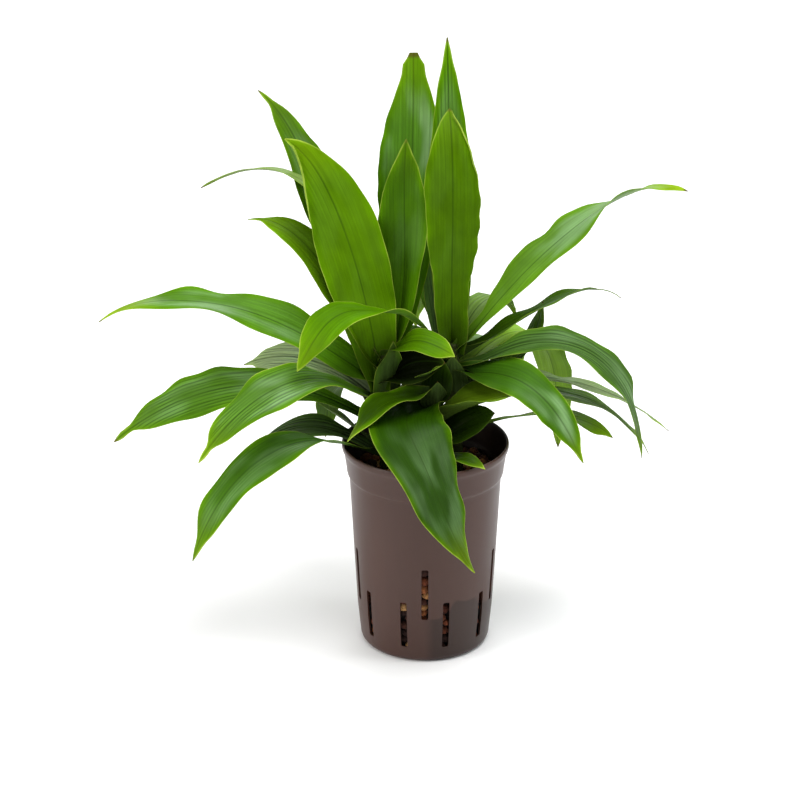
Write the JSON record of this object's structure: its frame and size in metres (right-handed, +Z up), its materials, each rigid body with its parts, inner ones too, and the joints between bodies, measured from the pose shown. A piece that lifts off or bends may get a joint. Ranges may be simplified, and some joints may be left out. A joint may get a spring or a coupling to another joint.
{
  "type": "potted dracaena",
  "caption": "Leafy dracaena with upright canes and long waved strap leaves, in a round slotted plastic pot filled with clay pebbles.",
  "frame": {"origin": "centre of the pot's flat underside, on the surface it stands on", "axes": "+Z up, out of the pot; +X to the right and -Y towards the viewer of the picture"},
  "size_m": [0.513, 0.3374, 0.5378],
  "materials": {
    "pot_plastic": "satin",
    "fired_clay": "matte",
    "leaf_left": "satin",
    "leaf_right": "satin",
    "leaf_front": "satin"
  },
  "bodies": {
    "root": {"pot": "pot_plastic", "clay_pebbles": "fired_clay", "shoot_left": "leaf_left", "shoot_right": "leaf_right", "shoot_front": "leaf_front"}
  },
  "joints": []
}
